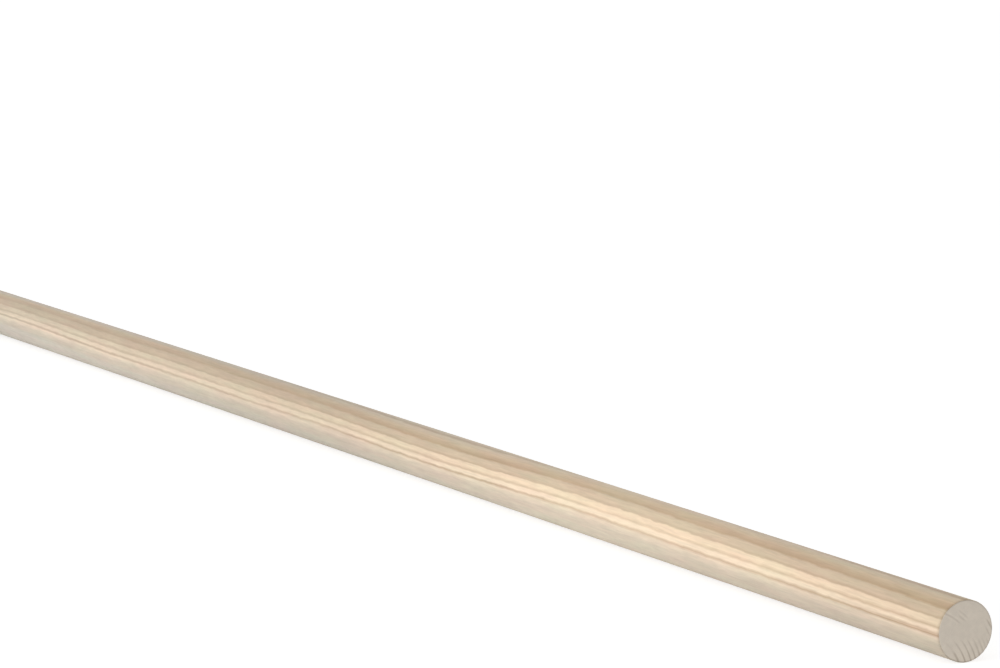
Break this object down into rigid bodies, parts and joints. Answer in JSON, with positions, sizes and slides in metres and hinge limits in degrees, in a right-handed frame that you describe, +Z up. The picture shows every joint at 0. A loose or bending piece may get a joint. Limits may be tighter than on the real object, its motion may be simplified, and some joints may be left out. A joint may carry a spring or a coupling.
{
  "type": "dowel rod",
  "caption": "Straight round softwood dowel rod, sawn square at both ends with the corners just eased, for pegs, axles, rails and spacers.",
  "frame": {"origin": "the middle of the rod, on its axis", "axes": "+X along the rod towards the end that the picture shows, +Z up with the rod lying level"},
  "size_m": [1, 0.02, 0.02],
  "materials": {
    "softwood": "bare softwood, machined round and lightly sanded along the side, sawn end grain at both ends"
  },
  "bodies": {
    "root": {"dowel_rod": "softwood"}
  },
  "joints": []
}
